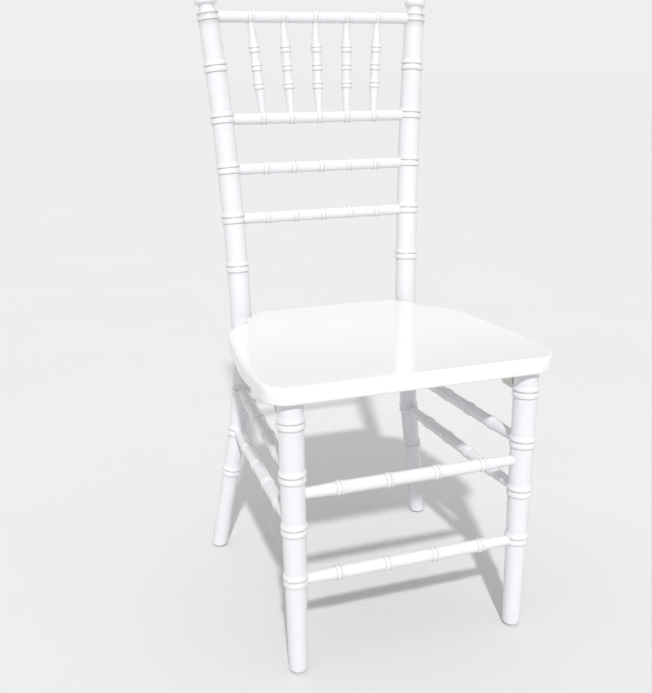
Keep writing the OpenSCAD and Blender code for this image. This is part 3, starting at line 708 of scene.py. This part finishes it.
def front_leg(side):
    lines, leg, ring = Lines(), setting("leg_sizes"), setting("ring_sizes")
    foot_r, bevel, overlap = leg_radius(lines, 0), 0.002, 0.0004
    pts, spots = [(foot_r - bevel, GLIDE_T), (foot_r, GLIDE_T + bevel)], []
    for z in reversed(lines.leg_ring_z):
        low, high = leg_radius(lines, z - RING_BELOW), leg_radius(lines, z + RING_ABOVE)
        pts += ring_profile(z, low, ring.lip, ring.gap, ring.flare, ring.drop, high)
        spots += groove_spots(z, ring.gap, ring.drop)
    pts.append((leg.dia / 2, lines.under + overlap))
    bm = turned_mesh(smooth_corners(with_stations(pts, 0.03), CORNER_R))
    store_groove_shade(bm, spots)
    along_line(bm, lines.leg_point(0) + lines.shift, lines.leg_point(lines.under) + lines.shift)
    suffix = "right" if side > 0 else "left"
    to_object("leg_" + suffix, bm, "front_leg_" + suffix, "frame_paint", mirror_x=side < 0)


def member_mesh(p, q, sink_p, sink_q, end_r, mid_r, swell, places):
    """A rail or stretcher between two centre lines, its ends housed in what carries it.

    It swells from its ends to its middle, where these differ.
    """
    ring = setting("ring_sizes")
    span = (q - p).length
    first, last = sink_p, span - sink_q
    swell = min(swell, (last - first) / 4)

    def radius(z):
        return end_r + (mid_r - end_r) * min(1.0, max(0.0, min(z - first, last - z) / swell))

    pts, spots = [(end_r, first)], []
    for z in sorted(places):
        r = radius(z)
        if mid_r != end_r and first + swell < z and pts[-1][1] < first + swell:
            pts.append((mid_r, first + swell))
        if mid_r != end_r and last - swell < z and pts[-1][1] < last - swell:
            pts.append((mid_r, last - swell))
        pts += ring_profile(z, r, ring.rail_lip, ring.rail_gap, ring.rail_flare, ring.drop,
                            radius(z + ring.rail_gap / 2 + ring.rail_flare))
        spots += groove_spots(z, ring.rail_gap, ring.drop)
    if mid_r != end_r and pts[-1][1] < last - swell:
        pts.append((mid_r, last - swell))
    pts.append((end_r, last))
    bm = turned_mesh(smooth_corners(pts, RAIL_CORNER_R), RAIL_SEGMENTS)
    store_groove_shade(bm, spots)
    shift = Lines().shift
    along_line(bm, p + shift, q + shift)
    return bm


def spread(count, pitch, middle):
    return [middle + (i - (count - 1) / 2) * pitch for i in range(count)]


def back_rail(name, ring_index, pitch):
    lines, rail, post = Lines(), setting("rail_sizes"), setting("post_sizes")
    p = lines.post_point(lines.ring_s(ring_index))[0]
    sink = post.dia / 2 - rail.housing
    r = rail.dia / 2
    bm = member_mesh(lines.mirrored(p), p, sink, sink, r, r, 0.03,
                     spread(rail.spindles, pitch, p.x))
    to_object(name + "_turned", bm, name, "frame_paint")


def spindle(index):
    lines, rail, ring = Lines(), setting("rail_sizes"), setting("ring_sizes")
    crest = lines.post_point(lines.ring_s(0))[0]
    low = lines.post_point(lines.ring_s(2))[0]
    k = index - (rail.spindles - 1) / 2
    p = Vector((k * rail.pitch, low.y, low.z))
    q = Vector((k * rail.crest_pitch, crest.y, crest.z))
    span = (q - p).length
    first = rail.dia / 2 - SPINDLE_SEAT
    last = span - first
    end_r, mid_r = rail.spindle_end / 2, rail.spindle_dia / 2
    pts, spots = [(end_r, first), (end_r, first + rail.spindle_plain)], []
    for z in spread(3, rail.spindle_rings, span / 2):
        pts += ring_profile(z, mid_r, ring.rail_lip, ring.rail_gap, ring.rail_flare, ring.drop)
        spots += groove_spots(z, ring.rail_gap, ring.drop)
    pts += [(end_r, last - rail.spindle_plain), (end_r, last)]
    bm = turned_mesh(smooth_corners(pts, CORNER_R), SPINDLE_SEGMENTS)
    store_groove_shade(bm, spots)
    along_line(bm, p + lines.shift, q + lines.shift)
    name = f"spindle_{index + 1}"
    to_object(name + "_turned", bm, name, "frame_paint")


def front_stretcher(name, z):
    lines, st = Lines(), setting("stretcher_sizes")
    p = lines.leg_point(z)
    sink = leg_radius(lines, z) - setting("rail_sizes").housing
    bm = member_mesh(lines.mirrored(p), p, sink, sink, st.end_dia / 2, st.dia / 2, st.swell,
                     spread(st.rings, st.front_pitch, p.x))
    to_object(name + "_turned", bm, name, "frame_paint")


def side_stretcher(name, upper, side):
    lines, st, post = Lines(), setting("stretcher_sizes"), setting("post_sizes")
    housing = setting("rail_sizes").housing
    p = lines.post_point((post.shin_pitch if upper else 0.0) - lines.bend_l)[0]
    z = lines.leg_ring_z[1 if upper else 2]
    q = lines.leg_point(z)
    rear_sink, front_sink = post.bend_dia / 2 - housing, leg_radius(lines, z) - housing
    bm = member_mesh(p, q, rear_sink, front_sink, st.end_dia / 2, st.dia / 2,
                     st.swell, spread(st.rings, st.side_pitch, (q - p).length / 2))
    full = name + ("_right" if side > 0 else "_left")
    to_object(full + "_turned", bm, full, "frame_paint", mirror_x=side < 0)


# ---------------------------------------------------------------- the seat
def arc(centre, radius, start, stop, steps):
    return [Vector((centre[0] + radius * math.cos(start + (stop - start) * i / steps),
                    centre[1] + radius * math.sin(start + (stop - start) * i / steps)))
            for i in range(steps + 1)]


def seat_half_outline(lines):
    """The right half of the seat's plan, from its front middle round its circles to the rear."""
    s, post, leg = setting("seat_sizes"), setting("post_sizes"), setting("leg_sizes")
    front_y, back_y = -leg.y - s.front, leg.y + s.rear
    wide_y = front_y + (back_y - front_y) * s.belly_share
    corner_x = s.width / 2 - s.belly - s.corner_r
    shoulder_x = s.width / 2 - s.taper - s.shoulder_r
    post_x = lines.post_above(setting("chair_sizes").seat_h).x
    tongue_x = post_x - post.dia / 2 - s.post_gap - s.tongue_r
    rear_r = tongue_x * tongue_x / s.rear_bow / 2
    rounds = [
        ((corner_x, front_y + s.corner_r), s.corner_r),
        ((s.width / 2 - s.belly_r, wide_y), s.belly_r),
        ((shoulder_x, back_y - s.shoulder_back - s.shoulder_r), s.shoulder_r),
        ((tongue_x, back_y - s.tongue_r - s.rear_bow), s.tongue_r),
        ((0.0, back_y - rear_r), rear_r),
    ]
    leaves = []
    for (c, r), (d, q) in zip(rounds, rounds[1:]):
        v = Vector(d) - Vector(c)
        a = math.atan2(v.y, v.x) - math.acos((r - q) / v.length)
        leaves.append(a + 2 * math.pi if a < -math.pi else a)
    starts = [-math.pi / 2] + leaves
    stops = leaves + [math.pi / 2]
    pts = []
    for (c, r), a, b in zip(rounds, starts, stops):
        pts += arc(c, r, a, b, max(2, math.ceil((b - a) / math.radians(3.0))))
    return pts


def round_corner(before, corner, after, radius, steps=7):
    """The arc that rounds a corner between two places, tangent to both sides."""
    u, v = (before - corner).normalized(), (after - corner).normalized()
    half = u.angle(v) / 2
    most = 0.9 * min((before - corner).length, (after - corner).length)
    cut = min(radius / math.tan(half), most)
    r = cut * math.tan(half)
    centre = corner + (u + v).normalized() * (r / math.sin(half))
    a, b = corner + u * cut - centre, corner + v * cut - centre
    start = math.atan2(a.y, a.x)
    return arc(centre, r, start, start - a.angle_signed(b), steps)


def seat_plan(lines):
    """The right half's outline with its notch beside the post."""
    s, post = setting("seat_sizes"), setting("post_sizes")
    c = lines.post_above(setting("chair_sizes").seat_h)
    wall_x, wall_y = c.x + 0.002, c.y - post.dia / 2 - s.post_gap - s.notch
    outline = seat_half_outline(lines)
    sides = list(zip(outline, outline[1:]))
    low_y = wall_y - s.notch_slant
    a, b = next((a, b) for a, b in sides if b.y > low_y >= a.y and a.x > wall_x)
    entry = a.lerp(b, (low_y - a.y) / (b.y - a.y))
    inner = Vector((wall_x, wall_y))
    a, b = next((a, b) for a, b in sides if b.y > wall_y and a.x > wall_x >= b.x)
    leave = a.lerp(b, (a.x - wall_x) / (a.x - b.x))
    front = [p for p in outline if p.y < entry.y and (p - entry).length > s.notch_r]
    rear = [p for p in outline[len(front):] if p.x < wall_x and (p - leave).length > s.notch_r]
    return (front + round_corner(front[-1], entry, inner, s.notch_r)
            + round_corner(entry, inner, leave, 0.5 * s.notch_r)
            + round_corner(inner, leave, rear[0], s.notch_r) + rear)


def seat_board():
    lines, c, s = Lines(), setting("chair_sizes"), setting("seat_sizes")
    half = seat_plan(lines)
    whole = half + [Vector((-p.x, p.y)) for p in reversed(half)]
    too_close = 2e-4
    loop = [p for p, q in zip(whole, whole[-1:] + whole) if (p - q).length > too_close]
    bm = bmesh.new()
    low = 0.6 * s.edge
    base = bm.faces.new([bm.verts.new((p.x, p.y, lines.under + low)) for p in loop])
    grown = bmesh.ops.extrude_face_region(bm, geom=[base])
    bmesh.ops.translate(
        bm, vec=(0, 0, c.seat_t - low - s.edge),
        verts=[v for v in grown["geom"] if isinstance(v, bmesh.types.BMVert)])
    top = next(f for f in grown["geom"] if isinstance(f, bmesh.types.BMFace))
    bmesh.ops.recalc_face_normals(bm, faces=bm.faces)
    for face, radius in ((top, s.edge), (base, low)):
        ease_rim(bm, face, radius)
        bmesh.ops.inset_region(bm, faces=[face], thickness=0.001, use_even_offset=True)
    bmesh.ops.triangulate(bm, faces=[top, base], ngon_method="EAR_CLIP")
    bmesh.ops.translate(bm, vec=lines.shift, verts=bm.verts)
    bmesh.ops.recalc_face_normals(bm, faces=bm.faces)
    to_object("seat_panel", bm, "seat_board", "seat_paint", SEAT_SHADE_ANGLE)


def ease_rim(bm, face, radius, steps=6):
    """Rounds the rim of a flat end face outwards by a quarter circle, in rings of small insets."""
    for i in range(steps):
        a, b = math.pi / 2 * i / steps, math.pi / 2 * (i + 1) / steps
        bmesh.ops.inset_region(
            bm, faces=[face], thickness=radius * (math.cos(a) - math.cos(b)),
            depth=radius * (math.sin(b) - math.sin(a)), use_even_offset=True)


# ---------------------------------------------------------------- operators
class CHAIR_OT_posts(bpy.types.Operator):
    """Turns and bends the two rear posts with their rings and finials"""
    bl_idname = "chair.posts"
    bl_label = "Rear posts"

    def execute(self, context):
        rear_post(RIGHT)
        rear_post(LEFT)
        return {"FINISHED"}


class CHAIR_OT_legs(bpy.types.Operator):
    """Turns the two front legs"""
    bl_idname = "chair.legs"
    bl_label = "Front legs"

    def execute(self, context):
        front_leg(RIGHT)
        front_leg(LEFT)
        return {"FINISHED"}


class CHAIR_OT_back_rails(bpy.types.Operator):
    """Turns the four rails of the back"""
    bl_idname = "chair.back_rails"
    bl_label = "Back rails"

    def execute(self, context):
        rail = setting("rail_sizes")
        back_rail("crest_rail", 0, rail.crest_pitch)
        back_rail("spindle_rail", 2, rail.pitch)
        back_rail("back_rail_upper", 3, rail.pitch)
        back_rail("back_rail_lower", 4, rail.pitch)
        return {"FINISHED"}


class CHAIR_OT_spindles(bpy.types.Operator):
    """Turns the spindles between the crest rail and the spindle rail"""
    bl_idname = "chair.spindles"
    bl_label = "Spindles"

    def execute(self, context):
        for i in range(setting("rail_sizes").spindles):
            spindle(i)
        return {"FINISHED"}


class CHAIR_OT_stretchers(bpy.types.Operator):
    """Turns the front and side stretchers"""
    bl_idname = "chair.stretchers"
    bl_label = "Stretchers"

    def execute(self, context):
        lines = Lines()
        front_stretcher("front_stretcher_upper", lines.front_upper)
        front_stretcher("front_stretcher_lower", lines.front_lower)
        for side in (LEFT, RIGHT):
            side_stretcher("side_stretcher_upper", True, side)
            side_stretcher("side_stretcher_lower", False, side)
        return {"FINISHED"}


class CHAIR_OT_seat(bpy.types.Operator):
    """Cuts the seat board round the posts and rounds its edges"""
    bl_idname = "chair.seat"
    bl_label = "Seat board"

    def execute(self, context):
        seat_board()
        return {"FINISHED"}


class CHAIR_OT_underside(bpy.types.Operator):
    """Finishes the rail, the blocks, the screws and the glides under the seat and feet"""
    bl_idname = "chair.underside"
    bl_label = "Underside"

    def execute(self, context):
        for name, slot in (("rear_seat_rail", "bare_wood"), ("corner_block_left", "bare_wood"),
                           ("corner_block_right", "bare_wood"), ("seat_screws", "screw_steel"),
                           ("foot_glides", "glide_nylon")):
            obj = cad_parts[name]
            obj.data.materials.clear()
            obj.data.materials.append(finish_of(slot))
        return {"FINISHED"}


class CHAIR_OT_stage(bpy.types.Operator):
    """Sets up the pale floor, the studio lights and the camera"""
    bl_idname = "chair.stage"
    bl_label = "Stage"

    def execute(self, context):
        looks = setting("stage_looks")
        bm = bmesh.new()
        bmesh.ops.create_grid(bm, x_segments=1, y_segments=1, size=FLOOR_HALF)
        mesh = bpy.data.meshes.new("studio_floor")
        bm.to_mesh(mesh)
        bm.free()
        floor = bpy.data.objects.new("studio_floor", mesh)
        bpy.context.scene.collection.objects.link(floor)
        m, tree, shader = new_material("studio_floor_matt")
        place = node(tree, "ShaderNodeTexCoord").outputs["Object"]
        blotch = ramp(tree, noise(tree, place, 2.0), 0.3, 0.7)
        tone = mix_colour(tree, blotch, looks.floor_colour, [0.985 * c for c in looks.floor_colour])
        tree.links.new(tone, shader.inputs["Base Color"])
        shader.inputs["Roughness"].default_value = 0.9
        mesh.materials.append(m)
        bpy.context.scene.world = studio_world(looks)
        bpy.context.scene.view_settings.view_transform = "Standard"
        key_light(looks)
        camera()
        return {"FINISHED"}


def studio_world(looks):
    """A pale room, dim from the sides and bright from below and overhead."""
    world = bpy.data.worlds.new("studio")
    world.use_nodes = True
    tree = world.node_tree
    back = tree.nodes["Background"]
    way = node(tree, "ShaderNodeSeparateXYZ")
    tree.links.new(node(tree, "ShaderNodeTexCoord").outputs["Generated"], way.inputs[0])
    backdrop_edge, backdrop_end, rise_behind = 0.1, 0.16, 0.2
    overhead_edge, overhead_full = 0.4, 0.9
    # the backdrop stands higher behind the chair
    behind = node(tree, "ShaderNodeMath", operation="MAXIMUM")
    tree.links.new(way.outputs["Y"], behind.inputs[0])
    behind.inputs[1].default_value = 0.0
    rise = node(tree, "ShaderNodeMath", operation="MULTIPLY_ADD")
    tree.links.new(behind.outputs[0], rise.inputs[0])
    rise.inputs[1].default_value = -rise_behind
    tree.links.new(way.outputs["Z"], rise.inputs[2])
    backdrop = ramp(tree, rise.outputs[0], backdrop_edge, backdrop_end,
                    looks.backdrop_strength, looks.low_strength)
    above = ramp(tree, way.outputs["Z"], overhead_edge, overhead_full,
                 0.0, looks.high_strength - looks.low_strength)
    both = node(tree, "ShaderNodeMath", operation="ADD")
    tree.links.new(backdrop, both.inputs[0])
    tree.links.new(above, both.inputs[1])
    # the camera sees the backdrop without its upper edge
    seen = node(tree, "ShaderNodeMix", data_type="FLOAT")
    tree.links.new(node(tree, "ShaderNodeLightPath").outputs["Is Camera Ray"], seen.inputs[0])
    tree.links.new(both.outputs[0], seen.inputs[2])
    seen.inputs[3].default_value = looks.backdrop_strength
    tree.links.new(seen.outputs[0], back.inputs["Strength"])
    back.inputs["Color"].default_value = (1.0, 1.0, 1.0, 1.0)
    return world


def key_light(looks):
    """A distant light from the front, a little left, as in the photograph."""
    data = bpy.data.lights.new("key", "SUN")
    data.energy, data.angle = looks.key_strength, looks.key_softness
    obj = bpy.data.objects.new("key", data)
    bpy.context.scene.collection.objects.link(obj)
    obj.rotation_euler = Vector(KEY_WAY).to_track_quat("-Z", "Y").to_euler()


def camera():
    """The photograph's viewpoint."""
    data = bpy.data.cameras.new("camera")
    data.sensor_fit, data.sensor_width = "HORIZONTAL", CAMERA_SENSOR
    data.lens = CAMERA_LENS
    data.shift_x, data.shift_y = CAMERA_SHIFT
    obj = bpy.data.objects.new("camera", data)
    bpy.context.scene.collection.objects.link(obj)
    turn = (Matrix.Rotation(math.radians(CAMERA_AZIMUTH), 4, "Z")
            @ Matrix.Rotation(math.radians(90 - CAMERA_DOWN), 4, "X")
            @ Matrix.Rotation(math.radians(CAMERA_ROLL), 4, "Z"))
    obj.matrix_world = Matrix.Translation(CAMERA_PLACE) @ turn
    bpy.context.scene.camera = obj


OPERATORS = [
    CHAIR_OT_posts, CHAIR_OT_legs, CHAIR_OT_back_rails, CHAIR_OT_spindles, CHAIR_OT_stretchers,
    CHAIR_OT_seat, CHAIR_OT_underside, CHAIR_OT_stage,
]


class CHAIR_PT_panel(bpy.types.Panel):
    """Lists the chair's pieces in the sidebar"""
    bl_idname = "CHAIR_PT_panel"
    bl_label = "Banquet Chair"
    bl_space_type = "VIEW_3D"
    bl_region_type = "UI"
    bl_category = "Banquet Chair"

    def draw(self, context):
        for op in OPERATORS:
            self.layout.operator(op.bl_idname)
        for name in SETTINGS:
            box = self.layout.box()
            box.label(text=name.replace("_", " ").capitalize())
            group = getattr(context.scene, name)
            for prop in group.bl_rna.properties:
                if not prop.is_readonly and prop.identifier != "name":
                    box.prop(group, prop.identifier)


def register():
    for cls in list(SETTINGS.values()) + OPERATORS + [CHAIR_PT_panel]:
        bpy.utils.register_class(cls)
    for name, cls in SETTINGS.items():
        setattr(bpy.types.Scene, name, PointerProperty(type=cls))


def unregister():
    for name in SETTINGS:
        delattr(bpy.types.Scene, name)
    for cls in reversed(list(SETTINGS.values()) + OPERATORS + [CHAIR_PT_panel]):
        bpy.utils.unregister_class(cls)


def main():
    register()
    for op in OPERATORS:
        group, name = op.bl_idname.split(".")
        getattr(getattr(bpy.ops, group), name)()


if __name__ == "__main__":
    main()
